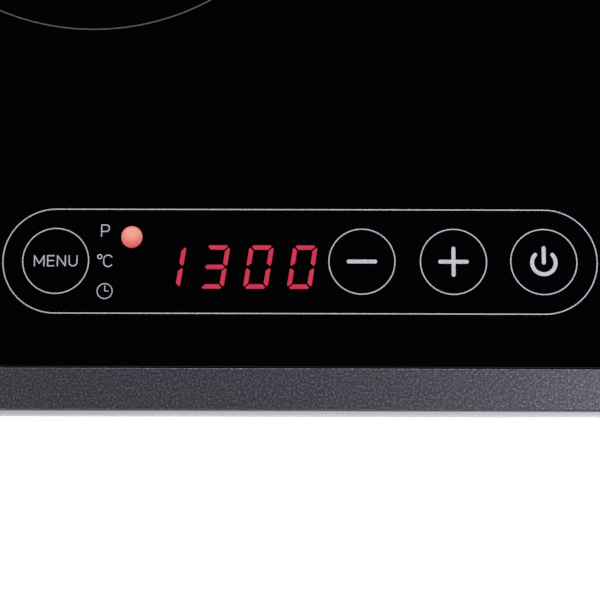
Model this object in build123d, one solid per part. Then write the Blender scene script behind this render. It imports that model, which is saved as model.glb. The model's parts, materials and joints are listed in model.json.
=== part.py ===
from build123d import *
import math
import os

# A portable single-zone induction cooktop: a black glass-ceramic plate in a textured dark
# frame, on a tapered light housing that holds the coil, the boards and the cooling fan.
# Millimetres. X runs to the right, Y to the back and Z up. The origin is on the floor under
# the middle of the cooking zone, and the control keys are at the front, towards -Y.

# ---------------------------------------------------------------- overall sizes
body_w = 300.0          # housing rim, left to right
body_d = 291.0          # housing rim, front to back
body_h = 60.0           # floor to the top of the glass
rim_corner_r = 22.0     # housing rim corner, seen from above
foot_h = 6.0            # feet under the housing
fit_gap = 0.3           # gap round a moulded part that drops into another
wall = 2.5              # housing wall and floor

# ---------------------------------------------------------------- glass and frame
glass_t = 4.0
glass_edge = 0.15       # ground edge round the top of the glass
glass_gap = 0.2         # joint between the glass edge and the frame
frame_top_w = 9.4       # visible width of the frame
frame_edge_h = 1.6      # height of the frame above the step it sits on
frame_round = 0.25      # both edges of the frame's top
lip_w = 0.95            # housing's light lip, outside the frame
lip_gap = 0.3           # dark joint between the frame and the lip
lip_drop = 0.7          # top of the lip, below the top of the frame
lip_round = 0.25
seal_t = 0.8
seal_w = 4.0
ledge_t = 1.8           # ledge that carries the glass
ledge_w = 6.0           # how far the ledge reaches under the glass
rim_h = 2.6             # upright band at the top of the housing, up to the frame's step
taper_in = 16.0         # how far the housing draws in from the band to its bottom edge
corner_taper = 6.0      # how much the corner radius shrinks over the same height
bottom_chamfer = 2.0

# ---------------------------------------------------------------- screws
screw_r = 1.5
screw_head_r = 3.2
screw_head_h = 2.2
recess_w = 0.8          # cross recess in each screw head
recess_len = 3.4
recess_h = 1.2
screw_gap = 0.4         # clearance hole round a screw
head_gap = 0.5          # counterbore round a screw head
boss_r = 4.0
post_r = 5.0
frame_screw_in = 26.0   # frame screws, in from the rim's sides
frame_screw_pitch = 80.0
frame_boss_len = 13.4
frame_screw_len = 15.0
control_screw_len = 5.5
blind_end = 1.0         # material left at the end of a blind hole or under a screw's tip
post_cap = 6.0          # thickness of the post above the counterbore
lug_w = 14.0

# ---------------------------------------------------------------- cooking zone
coil_r = 85.0
coil_bore_r = 22.0
coil_t = 4.4
mica_t = 0.6
mica_gap = 1.0          # air between the mica sheet and the glass
carrier_t = 3.0
carrier_rim_t = 2.0
carrier_gap = 1.0       # gap round the winding inside the carrier's rim
hub_bore_r = 8.0
hub_wall = 2.0
hub_depth = 12.0
coil_post_ring_r = 97.0
coil_post_count = 3
ferrite_len = 52.0
ferrite_w = 15.0
ferrite_t = 5.0
ferrite_count = 6
ferrite_in_r = 24.0
ferrite_rib_t = 1.5
lead_r = 1.5
lead_reach = 20.0
lead_angle = -9.0
notch_w = 6.0           # gap in the carrier's rim for a lead

# ---------------------------------------------------------------- temperature sensor
plunger_r = 5.5
plunger_flange_r = 7.6
plunger_flange_t = 2.0
plunger_len = 9.7
glass_touch_gap = 0.3
sensor_travel = 2.0
sensor_wire_r = 0.4
sensor_coil_r = 5.4
sensor_turns = 4
bead_r = 1.8

# ---------------------------------------------------------------- control panel
panel_x = 48.4          # middle of the control panel, right of the zone
panel_in = 24.35        # middle of the panel, behind the glass's front edge
key_offsets = {"menu": -55.8, "minus": 14.2, "plus": 35.1, "power": 55.7}
led_x = -38.5
led_top_y = 5.6
led_pitch = 7.0
led_names = ["power_level", "temperature", "timer"]
led_spot_r = 2.55
led_r = 1.5
led_len = 5.0
led_base_r = 1.9
led_base_t = 1.0
shade_wall = 0.75
display_x = -14.4
display_y = -1.3
display_w = 40.2
display_d = 12.8
display_h = 7.0
display_edge = 0.3
display_gap = 0.8       # air between the display and the glass
board_t = 1.6
control_w = 142.0
control_d = 30.0
control_inset = 4.0     # board screws, in from the board's edges
key_wire_r = 0.35
key_bottom_r = 3.5
key_cone = 20.0         # half angle of the key springs, degrees
key_turns = 5
bracket_t = 2.0
bracket_gap = 2.6
bracket_d = 22.0
bracket_leg_w = 12.0
bracket_leg_inset = 34.0
bracket_boss_r = 3.0
chip_w = 10.0
chip_t = 1.4
ribbon_w = 12.0
ribbon_t = 0.9
ribbon_bend = 5.0
ribbon_drop = 12.0      # height of the ribbon's run above the power board
ribbon_in = 9.0         # where it meets the power board, in from that board's edge

# ---------------------------------------------------------------- power board
power_x = 61.0
power_y = 28.0
power_w = 110.0
power_d = 120.0
power_lift = 6.0
power_inset = 5.0
heatsink_w = 60.0
heatsink_d = 46.0
heatsink_h = 15.0
heatsink_base = 4.0
fin_count = 9
fin_t = 1.4
device_t = 5.0
device_lift = 1.0       # air between a power package and the board
leg_w = 1.0
leg_spread = 0.7        # share of the package's width that its legs take

# ---------------------------------------------------------------- parts on the power board
# Each place is from the board's middle.
sink_place = (-21.0, 32.0)
transistor_dx = -14.0   # from the heatsink's middle
transistor_size = (16.0, 21.0)
transistor_legs = 3
rectifier_dx = 14.0
rectifier_size = (28.0, 20.0)
rectifier_legs = 4
resonance_place = (33.0, 34.0)
resonance_size = (30.0, 16.0, 20.0)
smoothing_place = (33.0, 12.0)
smoothing_size = (30.0, 14.0, 21.0)
filter_place = (11.0, -50.0)
filter_size = (26.0, 10.0, 17.0)
capacitor_round = 1.0
choke_place = (-2.0, -20.0)
choke_r = 12.0
choke_bore_r = 5.0
choke_h = 9.0
choke_round = 1.5
core_place = (-38.0, -24.0)
core_w = 20.0
core_d = 6.0
core_h = 18.0
bobbin_w = 14.0
bobbin_d = 18.0
bobbin_h = 12.0
fuse_place = (30.0, -8.0)
fuse_r = 2.6
fuse_len = 20.0
fuse_lift = 4.0
clip_w = 3.0
clip_d = 6.4
clip_pitch = 16.0
varistor_place = (20.0, -22.0)
varistor_r = 6.0
varistor_t = 4.0
varistor_lift = 6.5
varistor_leg_t = 0.8
terminal_x = 30.0
terminal_in = 9.0       # from the board's back edge
terminal_w = 20.0
terminal_d = 9.0
terminal_h = 11.0
terminal_bore_r = 2.4
terminal_pitch = 10.0
buzzer_place = (-12.0, -52.0)
buzzer_r = 6.0
buzzer_h = 8.0
buzzer_port = 1.0

# ---------------------------------------------------------------- fan
fan_x = -76.0
fan_y = 66.0
fan_size = 80.0
fan_t = 20.0
fan_lift = 5.0
fan_hole_pitch = 71.5
fan_bore_r = 38.0
tip_gap = 1.5
hub_r = 17.0
hub_t = 2.0
blade_count = 7
blade_t = 1.3
blade_pitch = 38.0      # blade angle to the fan's plane, degrees
shaft_r = 1.5
shaft_gap = 0.05        # running clearance in the sleeve bearing
bearing_r = 2.6
tube_r = 4.0
magnet_t = 1.4
magnet_gap = 0.6        # air between the stator and the magnet
stator_poles = 4
spider_t = 2.0
spider_arm_w = 5.0
spider_hub_r = 16.0
spider_root = 0.5       # how deep an arm is rooted in the frame
fan_round = 4.0         # corners of the fan's frame
tube_h = 13.5           # bearing tube, from the fan's underside
cup_lift = 1.5          # air between the spider and the spinning cup
cup_drop = 1.0          # cup's top, below the frame's top
boss_lift = 0.6         # air between the tube and the boss inside the cup
boss_in_r = 3.2
shaft_cap = 0.8         # cup's material over the shaft
shaft_lift = 0.3
stator_lift = 2.5
stator_t = 8.0
magnet_over = 0.5       # how far the magnet stands past the stator each way
blade_root = 0.5        # how deep a blade is rooted in the cup
pole_angle = 45.0
pole_slot_w = 2.0
coil_slot_at = 0.72     # middle of a winding slot, as a share of the stator's radius
coil_slot_len = 0.35    # its sides, as shares of the same radius
coil_slot_w = 0.55
pole_mouth_len = 0.6    # the slot's open mouth, the same way
blade_over = 4.0        # length a blade is drawn over, before it is trimmed

# ---------------------------------------------------------------- vents, feet, cord inlet
slot_w = 3.0
slot_pitch = 7.0
slot_h = 20.0
slot_low = 18.0
rear_slot_count = 24
rear_slot_x = -112.0
side_slot_count = 22
side_slot_y = -70.0
grille_r = 36.0
foot_r = 11.0
foot_round = 1.0
foot_stem_r = 4.0
foot_x = 112.0
foot_y = 106.0
foot_dimple_r = 6.0
foot_dimple = 1.2
gland_x = 90.0
gland_z = 30.0
gland_r = 7.0
gland_bore_r = 3.6      # for a 7 mm mains cord
gland_flange_r = 10.0
gland_flange_t = 2.5
gland_pad_r = 12.0
gland_pad_out = 4.5     # the flat pad's face, in from the rim's back
gland_pad_len = 11.0
nut_t = 4.0

# ---------------------------------------------------------------- levels and places
glass_z = body_h - glass_t
seal_z = glass_z - seal_t
ledge_z = seal_z - ledge_t
rim_z = body_h - frame_edge_h
lip_h = frame_edge_h - lip_drop
band_z = rim_z - rim_h
floor_z = foot_h + wall
lip_all = lip_w + lip_gap
frame_w = body_w - 2 * lip_all
frame_d = body_d - 2 * lip_all
frame_r = rim_corner_r - lip_all
glass_w = frame_w - 2 * (frame_top_w + glass_gap)
glass_d = frame_d - 2 * (frame_top_w + glass_gap)
glass_r = frame_r - frame_top_w - glass_gap
window_w = glass_w - 2 * ledge_w
window_d = glass_d - 2 * ledge_w
boss_z = ledge_z - frame_boss_len
frame_screw_x = body_w / 2 - frame_screw_in
frame_screws = [(side * frame_screw_x, row * frame_screw_pitch) for side in (-1, 1) for row in (-1, 0, 1)]

mica_z = glass_z - mica_gap - mica_t
coil_z = mica_z - coil_t
carrier_z = coil_z - carrier_t
carrier_r = coil_r + carrier_gap + carrier_rim_t
coil_posts = [
    (
        coil_post_ring_r * math.cos(math.radians(90 + 360 * n / coil_post_count)),
        coil_post_ring_r * math.sin(math.radians(90 + 360 * n / coil_post_count)),
    )
    for n in range(coil_post_count)
]

panel_y = -glass_d / 2 + panel_in
control_z = glass_z - display_gap - display_h - board_t
control_top = control_z + board_t
bracket_z = control_z - bracket_gap - bracket_t
control_screws = [
    (panel_x + side * (control_w / 2 - control_inset), panel_y + row * (bracket_d / 2 - control_inset))
    for side in (-1, 1)
    for row in (-1, 1)
]

power_z = floor_z + power_lift
power_top = power_z + board_t
power_screw_len = power_lift + board_t - blind_end
power_screws = [
    (power_x + side * (power_w / 2 - power_inset), power_y + row * (power_d / 2 - power_inset))
    for side in (-1, 1)
    for row in (-1, 1)
]

fan_z = floor_z + fan_lift
fan_top = fan_z + fan_t
fan_screws = [
    (fan_x + side * fan_hole_pitch / 2, fan_y + row * fan_hole_pitch / 2)
    for side in (-1, 1)
    for row in (-1, 1)
]
feet = {
    "foot_front_left": (-foot_x, -foot_y),
    "foot_front_right": (foot_x, -foot_y),
    "foot_rear_left": (-foot_x, foot_y),
    "foot_rear_right": (foot_x, foot_y),
}
gland_face_y = body_d / 2 - gland_pad_out


# ---------------------------------------------------------------- shape helpers
def rod(x, y, z, radius, height):
    """Upright cylinder standing on height z."""
    return Pos(x, y, z) * Cylinder(radius, height, align=(Align.CENTER, Align.CENTER, Align.MIN))


def brick(x, y, z, width, depth, height):
    """Box centred on x and y, standing on height z."""
    return Pos(x, y, z) * Box(width, depth, height, align=(Align.CENTER, Align.CENTER, Align.MIN))


def plate(width, depth, radius, z, height):
    """Rounded rectangle centred on the origin, standing on height z."""
    return Pos(0, 0, z) * extrude(RectangleRounded(width, depth, radius), height)


def along_y(x, y, z, radius, length):
    """Cylinder that runs towards +Y from y."""
    return Pos(x, y, z) * Rot(-90, 0, 0) * Cylinder(
        radius, length, align=(Align.CENTER, Align.CENTER, Align.MIN)
    )


def cross(x, y, z):
    """The cross recess of a screw head, standing on height z."""
    arms = brick(x, y, z, recess_w, recess_len, recess_h)
    return arms + brick(x, y, z, recess_len, recess_w, recess_h)


def screw(x, y, head_z, length):
    """Screw whose head sits on head_z, with its shank going down."""
    body = rod(x, y, head_z, screw_head_r, screw_head_h) + rod(x, y, head_z - length, screw_r, length)
    return body - cross(x, y, head_z + screw_head_h - recess_h)


def screw_up(x, y):
    """Frame screw, driven from below: its head bears on the cap of the housing post."""
    seat = boss_z - post_cap
    body = rod(x, y, seat - screw_head_h, screw_head_r, screw_head_h)
    body += rod(x, y, seat, screw_r, frame_screw_len)
    return body - cross(x, y, seat - screw_head_h)


def spring(x, y, z, height, radius, wire_r, turns, cone=0.0):
    """Round-wire compression spring that fills the height from z."""
    rise = height - 2 * wire_r
    path = Helix(pitch=rise / turns, height=rise, radius=radius, cone_angle=cone)
    section = Plane(origin=path @ 0, z_dir=path % 0) * Circle(wire_r)
    return Pos(x, y, z + wire_r) * sweep(section, path=path, is_frenet=True)


def group(solids):
    """Separate solids that share one node."""
    return Compound(children=[Compound(solid.solids()) for solid in solids])


# ---------------------------------------------------------------- casing
def housing_outline(z, inset):
    """Section of the tapered housing at height z, drawn in by inset."""
    share = max(0.0, (band_z - z) / (band_z - foot_h))
    drawn = 2 * (taper_in * share + inset)
    radius = rim_corner_r - corner_taper * share - inset
    return Pos(0, 0, z) * RectangleRounded(body_w - drawn, body_d - drawn, radius)


def make_housing():
    low = foot_h + bottom_chamfer
    body = loft([housing_outline(foot_h, bottom_chamfer), housing_outline(low, 0)])
    body += loft([housing_outline(low, 0), housing_outline(band_z, 0)])
    band = extrude(housing_outline(band_z, 0), rim_h + lip_h)
    body += fillet(band.faces().sort_by(Axis.Z)[-1].edges(), lip_round)
    body -= extrude(housing_outline(rim_z, lip_w), lip_h)
    body += along_y(gland_x, gland_face_y - gland_pad_len, gland_z, gland_pad_r, gland_pad_len)
    inside = loft([housing_outline(floor_z, wall), housing_outline(band_z, wall)])
    inside += extrude(housing_outline(band_z, wall), rim_h)
    pad_inner = along_y(gland_x, gland_face_y - gland_pad_len, gland_z, gland_pad_r, gland_pad_len)
    body -= inside - pad_inner
    for x, y in frame_screws:
        body += rod(x, y, floor_z, post_r, boss_z - floor_z)
        body -= rod(x, y, foot_h, screw_head_r + head_gap, boss_z - post_cap - foot_h)
        body -= rod(x, y, foot_h, screw_r + screw_gap, boss_z - foot_h)
    for x, y in coil_posts:
        body += rod(x, y, floor_z, post_r, carrier_z - floor_z)
        body -= rod(x, y, carrier_z - frame_screw_len, screw_r, frame_screw_len)
    for x, y in power_screws:
        body += rod(x, y, floor_z, boss_r, power_lift)
        body -= rod(x, y, floor_z, screw_r, power_lift)
    for x, y in fan_screws:
        body += rod(x, y, floor_z, boss_r, fan_lift)
        body -= rod(x, y, floor_z, screw_r, fan_lift)
    for x, y in feet.values():
        body -= rod(x, y, foot_h, foot_stem_r, wall)
    body -= make_grille()
    body -= make_vents()
    return body - along_y(gland_x, gland_face_y - 2 * gland_pad_len, gland_z, gland_r, 3 * gland_pad_len)


def make_grille():
    """Parallel slots under the fan, inside a circle."""
    lanes = int(2 * grille_r / (2 * slot_w))
    bars = [
        brick(fan_x, fan_y + (n - (lanes - 1) / 2) * 2 * slot_w, foot_h, 2 * grille_r, slot_w, wall)
        for n in range(lanes)
    ]
    slots = bars[0]
    for bar in bars[1:]:
        slots += bar
    return slots & rod(fan_x, fan_y, foot_h, grille_r, wall)


def make_vents():
    """Upright slots through the back wall and the right wall."""
    reach = taper_in + wall
    back = body_d / 2 - reach / 2
    right = body_w / 2 - reach / 2
    cuts = []
    for n in range(rear_slot_count):
        cuts.append(brick(rear_slot_x + n * slot_pitch, back, slot_low, slot_w, reach, slot_h))
    for n in range(side_slot_count):
        cuts.append(brick(right, side_slot_y + n * slot_pitch, slot_low, reach, slot_w, slot_h))
    return cuts


def make_frame():
    frame = plate(frame_w, frame_d, frame_r, rim_z, frame_edge_h)
    frame += loft([housing_outline(ledge_z, wall + fit_gap), housing_outline(band_z, wall + fit_gap)])
    frame += extrude(housing_outline(band_z, wall + fit_gap), rim_h)
    frame -= plate(window_w, window_d, glass_r, ledge_z, body_h - ledge_z)
    pocket = 2 * glass_gap
    frame -= plate(glass_w + pocket, glass_d + pocket, glass_r + glass_gap, seal_z, body_h - seal_z)
    for x, y in frame_screws:
        side = math.copysign(1, x)
        tip = abs(x) - boss_r - fit_gap
        root = window_w / 2 + fit_gap
        frame += brick(side * (tip + root) / 2, y, ledge_z, root - tip, lug_w, ledge_t)
        frame += rod(x, y, boss_z, boss_r, frame_boss_len)
        frame -= rod(x, y, boss_z, screw_r, frame_boss_len - blind_end)
    return fillet(frame.faces().sort_by(Axis.Z)[-1].edges(), frame_round)


def make_glass():
    glass = plate(glass_w, glass_d, glass_r, glass_z, glass_t)
    return chamfer(glass.faces().sort_by(Axis.Z)[-1].edges(), glass_edge)


def make_seal():
    ring = plate(glass_w, glass_d, glass_r, seal_z, seal_t)
    return ring - plate(glass_w - 2 * seal_w, glass_d - 2 * seal_w, glass_r - seal_w, seal_z, seal_t)


def make_foot(x, y):
    foot = fillet(rod(x, y, 0, foot_r, foot_h).faces().sort_by(Axis.Z)[0].edges(), foot_round)
    foot += rod(x, y, foot_h, foot_stem_r, wall)
    return foot - rod(x, y, 0, foot_dimple_r, foot_dimple)


def make_gland():
    tube = along_y(gland_x, gland_face_y - gland_pad_len - nut_t, gland_z, gland_r, gland_pad_len + nut_t)
    tube += along_y(gland_x, gland_face_y, gland_z, gland_flange_r, gland_flange_t)
    length = 2 * gland_pad_len + nut_t
    return tube - along_y(gland_x, gland_face_y - gland_pad_len - nut_t, gland_z, gland_bore_r, length)


def make_gland_nut():
    nut = Pos(gland_x, gland_face_y - gland_pad_len, gland_z) * Rot(90, 0, 0) * extrude(
        RegularPolygon(gland_flange_r, 6), nut_t
    )
    return nut - along_y(gland_x, gland_face_y - gland_pad_len - nut_t, gland_z, gland_r, nut_t)


# ---------------------------------------------------------------- coil
def make_carrier():
    disc = rod(0, 0, carrier_z, carrier_r, carrier_t)
    rim = rod(0, 0, coil_z, carrier_r, coil_t) - rod(0, 0, coil_z, carrier_r - carrier_rim_t, coil_t)
    hub = rod(0, 0, carrier_z - hub_depth, hub_bore_r + hub_wall, hub_depth)
    carrier = disc + rim + hub
    for n in range(coil_post_count):
        turn = Rot(0, 0, 90 + 360 * n / coil_post_count)
        arm_in = carrier_r - 2 * carrier_rim_t
        arm_x = (arm_in + coil_post_ring_r) / 2
        carrier += turn * brick(arm_x, 0, carrier_z, coil_post_ring_r - arm_in, 2 * post_r, carrier_t)
        carrier += turn * rod(coil_post_ring_r, 0, carrier_z, post_r, carrier_t)
    rib_out = ferrite_w / 2 + ferrite_rib_t / 2
    middle = ferrite_in_r + ferrite_len / 2
    for n in range(ferrite_count):
        turn = Rot(0, 0, 360 * n / ferrite_count)
        for side in (-1, 1):
            rib = brick(middle, side * rib_out, carrier_z - ferrite_t, ferrite_len, ferrite_rib_t, ferrite_t)
            carrier += turn * rib
    carrier -= rod(0, 0, carrier_z - hub_depth + hub_wall, hub_bore_r, hub_depth + carrier_t)
    for x, y in coil_posts:
        carrier -= rod(x, y, carrier_z, screw_r + screw_gap, carrier_t)
    for angle in (lead_angle, -lead_angle):
        notch = brick(carrier_r, 0, coil_z, 4 * carrier_rim_t, notch_w, coil_t)
        carrier -= Rot(0, 0, angle) * notch
    return carrier


def make_winding():
    return rod(0, 0, coil_z, coil_r, coil_t) - rod(0, 0, coil_z, coil_bore_r, coil_t)


def make_mica():
    sheet = rod(0, 0, mica_z, coil_r, mica_t)
    return sheet - rod(0, 0, mica_z, hub_bore_r, mica_t)


def make_ferrites():
    middle = ferrite_in_r + ferrite_len / 2
    bar = brick(middle, 0, carrier_z - ferrite_t, ferrite_len, ferrite_w, ferrite_t)
    return group([Rot(0, 0, 360 * n / ferrite_count) * bar for n in range(ferrite_count)])


def make_coil_lead(angle):
    """Litz lead from the winding's edge, out through the rim's notch and down to the power board."""
    height = coil_z + coil_t / 2
    points = [(coil_r, 0, height), (coil_r + lead_reach, 0, height), (coil_r + lead_reach, 0, power_top)]
    path = FilletPolyline(*points, radius=0.45 * lead_reach)
    section = Plane(origin=path @ 0, z_dir=path % 0) * Circle(lead_r)
    return Rot(0, 0, angle) * sweep(section, path=path)


# ---------------------------------------------------------------- temperature sensor
plunger_top = glass_z - glass_touch_gap
plunger_z = plunger_top - plunger_len
spring_z = carrier_z - hub_depth + hub_wall


def make_plunger():
    body = rod(0, 0, plunger_z, plunger_flange_r, plunger_flange_t)
    body += rod(0, 0, plunger_z, plunger_r, plunger_len)
    return body - rod(0, 0, plunger_top - 2 * bead_r, bead_r, 2 * bead_r)


def make_bead():
    return rod(0, 0, plunger_top - 2 * bead_r, bead_r, 2 * bead_r)


def make_sensor_spring():
    return spring(0, 0, spring_z, plunger_z - spring_z, sensor_coil_r, sensor_wire_r, sensor_turns)


# ---------------------------------------------------------------- control panel
def make_control_board():
    board = brick(panel_x, panel_y, control_z, control_w, control_d, board_t)
    for x, y in control_screws:
        board -= rod(x, y, control_z, screw_r + screw_gap, board_t)
    return board


def make_display():
    block = brick(panel_x + display_x, panel_y + display_y, control_top, display_w, display_d, display_h)
    return chamfer(block.faces().sort_by(Axis.Z)[-1].edges(), display_edge)


def led_place(index):
    return panel_x + led_x, panel_y + led_top_y - led_pitch * index


def make_led(index):
    x, y = led_place(index)
    lamp = rod(x, y, control_top, led_base_r, led_base_t)
    lamp += rod(x, y, control_top, led_r, led_len - led_r)
    return lamp + Pos(x, y, control_top + led_len - led_r) * Sphere(led_r)


def make_shade():
    span = led_pitch * (len(led_names) - 1)
    x, top_y = led_place(0)
    width = 2 * (led_spot_r + shade_wall)
    shade = brick(x, top_y - span / 2, control_top, width, span + width, display_h)
    for index in range(len(led_names)):
        well_x, well_y = led_place(index)
        shade -= rod(well_x, well_y, control_top, led_spot_r, display_h)
    return shade


def make_key_spring(offset):
    x = panel_x + offset
    height = glass_z - control_top
    return spring(x, panel_y, control_top, height, key_bottom_r, key_wire_r, key_turns, key_cone)


def make_bracket():
    top = bracket_z + bracket_t
    bracket = brick(panel_x, panel_y, bracket_z, control_w, bracket_d, bracket_t)
    for x, y in control_screws:
        bracket += rod(x, y, top, bracket_boss_r, bracket_gap)
        bracket -= rod(x, y, bracket_z, screw_r, bracket_t + bracket_gap)
    for side in (-1, 1):
        x = panel_x + side * (control_w / 2 - bracket_leg_inset)
        bracket += brick(x, panel_y, floor_z, bracket_leg_w, bracket_d, bracket_z - floor_z)
    return bracket


def make_chip():
    return brick(panel_x + display_x, panel_y, control_z - chip_t, chip_w, chip_w, chip_t)


def make_ribbon():
    """Flat cable from the back edge of the control board down to the power board."""
    x = panel_x + display_x
    start_y = panel_y + bracket_d / 2 + (control_d - bracket_d) / 4
    low = power_top + ribbon_drop
    end_y = power_y - power_d / 2 + ribbon_in
    points = [(x, start_y, control_z), (x, start_y, low), (x, end_y, low), (x, end_y, power_top)]
    path = FilletPolyline(*points, radius=ribbon_bend)
    section = Plane(origin=path @ 0, x_dir=(1, 0, 0), z_dir=path % 0) * Rectangle(ribbon_w, ribbon_t)
    return sweep(section, path=path)


# ---------------------------------------------------------------- power board
def make_power_board():
    board = brick(power_x, power_y, power_z, power_w, power_d, board_t)
    for x, y in power_screws:
        board -= rod(x, y, power_z, screw_r + screw_gap, board_t)
    return board


heatsink_x = power_x + sink_place[0]
heatsink_y = power_y + sink_place[1]
heatsink_z = power_top + device_lift + device_t


def on_board(place):
    """A place on the power board, from its middle."""
    return power_x + place[0], power_y + place[1]


def make_heatsink():
    sink = brick(heatsink_x, heatsink_y, heatsink_z, heatsink_w, heatsink_d, heatsink_base)
    step = (heatsink_d - fin_t) / (fin_count - 1)
    for n in range(fin_count):
        y = heatsink_y - heatsink_d / 2 + fin_t / 2 + n * step
        sink += brick(heatsink_x, y, heatsink_z, heatsink_w, fin_t, heatsink_h)
    return sink


def make_device(dx, size, legs):
    """Flat power package under the heatsink, with its legs in the board."""
    width, depth = size
    x = heatsink_x + dx
    body = brick(x, heatsink_y, power_top + device_lift, width, depth, device_t)
    step = width * leg_spread / (legs - 1)
    leg_y = heatsink_y - depth / 2 + leg_w
    for n in range(legs):
        leg_x = x + (n - (legs - 1) / 2) * step
        body += brick(leg_x, leg_y, power_top, leg_w, leg_w, device_lift + device_t / 2)
    return body


def make_box_capacitor(place, size):
    x, y = on_board(place)
    block = brick(x, y, power_top, *size)
    return fillet(block.edges().filter_by(Axis.Z), capacitor_round)


def make_choke():
    x, y = on_board(choke_place)
    ring = rod(x, y, power_top, choke_r, choke_h) - rod(x, y, power_top, choke_bore_r, choke_h)
    return fillet(ring.edges(), choke_round)


def make_transformer():
    x, y = on_board(core_place)
    core = brick(x, y, power_top, core_w, core_d, core_h)
    return core + brick(x, y, power_top + (core_h - bobbin_h) / 2, bobbin_w, bobbin_d, bobbin_h)


def make_fuse():
    x, y = on_board(fuse_place)
    tube = Pos(x, y, power_top + fuse_lift) * Rot(0, 90, 0) * Cylinder(fuse_r, fuse_len)
    for side in (-1, 1):
        tube += brick(x + side * clip_pitch / 2, y, power_top, clip_w, clip_d, fuse_lift)
    return tube


def make_varistor():
    x, y = on_board(varistor_place)
    disc = along_y(x, y, power_top + varistor_lift, varistor_r, varistor_t)
    return disc + brick(x, y + varistor_t / 2, power_top, varistor_r, varistor_leg_t, varistor_lift)


def make_terminals():
    x = power_x + terminal_x
    y = power_y + power_d / 2 - terminal_in
    block = brick(x, y, power_top, terminal_w, terminal_d, terminal_h)
    for side in (-1, 1):
        bore_x = x + side * terminal_pitch / 2
        block -= along_y(bore_x, y, power_top + terminal_h / 2, terminal_bore_r, terminal_d)
    return block


def make_buzzer():
    x, y = on_board(buzzer_place)
    port = rod(x, y, power_top + buzzer_h - buzzer_port, buzzer_port, buzzer_port)
    return rod(x, y, power_top, buzzer_r, buzzer_h) - port


# ---------------------------------------------------------------- fan
spider_top = fan_z + spider_t
tube_top = fan_z + tube_h
cup_low = spider_top + cup_lift
cup_top = fan_top - cup_drop
magnet_out_r = hub_r - hub_t
magnet_in_r = magnet_out_r - magnet_t
stator_r = magnet_in_r - magnet_gap
stator_z = spider_top + stator_lift


def make_fan_frame():
    frame = Pos(fan_x, fan_y, fan_z) * extrude(RectangleRounded(fan_size, fan_size, fan_round), fan_t)
    frame -= rod(fan_x, fan_y, fan_z, fan_bore_r, fan_t)
    for x, y in fan_screws:
        frame -= rod(x, y, fan_z, screw_r + screw_gap, fan_t)
    frame += rod(fan_x, fan_y, fan_z, spider_hub_r, spider_t)
    for turn in (pole_angle, pole_angle + 90):
        arm = Rot(0, 0, turn) * Box(2 * (fan_bore_r + spider_root), spider_arm_w, spider_t)
        frame += Pos(fan_x, fan_y, fan_z + spider_t / 2) * arm
    frame += rod(fan_x, fan_y, fan_z, tube_r, tube_top - fan_z)
    return frame - rod(fan_x, fan_y, spider_top, bearing_r, tube_top - spider_top)


def make_fan_bearing():
    sleeve = rod(fan_x, fan_y, spider_top, bearing_r, tube_top - spider_top)
    return sleeve - rod(fan_x, fan_y, spider_top, shaft_r + shaft_gap, tube_top - spider_top)


def make_fan_stator():
    core = rod(fan_x, fan_y, stator_z, stator_r, stator_t)
    for n in range(stator_poles):
        angle = pole_angle + 360 * n / stator_poles
        slot = Box(coil_slot_len * stator_r, coil_slot_w * stator_r, stator_t)
        slot = Pos(coil_slot_at * stator_r, 0, stator_t / 2) * slot
        gap = Pos(stator_r, 0, stator_t / 2) * Box(pole_mouth_len * stator_r, pole_slot_w, stator_t)
        core -= Pos(fan_x, fan_y, stator_z) * Rot(0, 0, angle) * slot
        core -= Pos(fan_x, fan_y, stator_z) * Rot(0, 0, angle) * gap
    return core - rod(fan_x, fan_y, stator_z, tube_r, stator_t)


def make_fan_rotor():
    cup = rod(fan_x, fan_y, cup_low, hub_r, cup_top - cup_low)
    cup -= rod(fan_x, fan_y, cup_low, magnet_out_r, cup_top - cup_low - hub_t)
    cup += rod(fan_x, fan_y, tube_top + boss_lift, boss_in_r, cup_top - tube_top - boss_lift)
    blade_r = fan_bore_r - tip_gap
    blade_h = cup_top - cup_low
    sweep_zone = rod(fan_x, fan_y, cup_low, blade_r, blade_h)
    sweep_zone -= rod(fan_x, fan_y, cup_low, hub_r - blade_root, blade_h)
    for n in range(blade_count):
        blade = Pos((hub_r + blade_r) / 2, 0, 0) * Rot(blade_pitch, 0, 0) * Box(
            blade_r - hub_r + blade_over, 2 * blade_h, blade_t
        )
        turned = Pos(fan_x, fan_y, (cup_low + cup_top) / 2) * Rot(0, 0, 360 * n / blade_count) * blade
        cup += turned & sweep_zone
    return cup - rod(fan_x, fan_y, tube_top, shaft_r, cup_top - tube_top - shaft_cap)


def make_fan_magnet():
    low = stator_z - magnet_over
    height = stator_t + 2 * magnet_over
    return rod(fan_x, fan_y, low, magnet_out_r, height) - rod(fan_x, fan_y, low, magnet_in_r, height)


def make_fan_shaft():
    low = spider_top + shaft_lift
    return rod(fan_x, fan_y, low, shaft_r, cup_top - shaft_cap - low)


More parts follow.
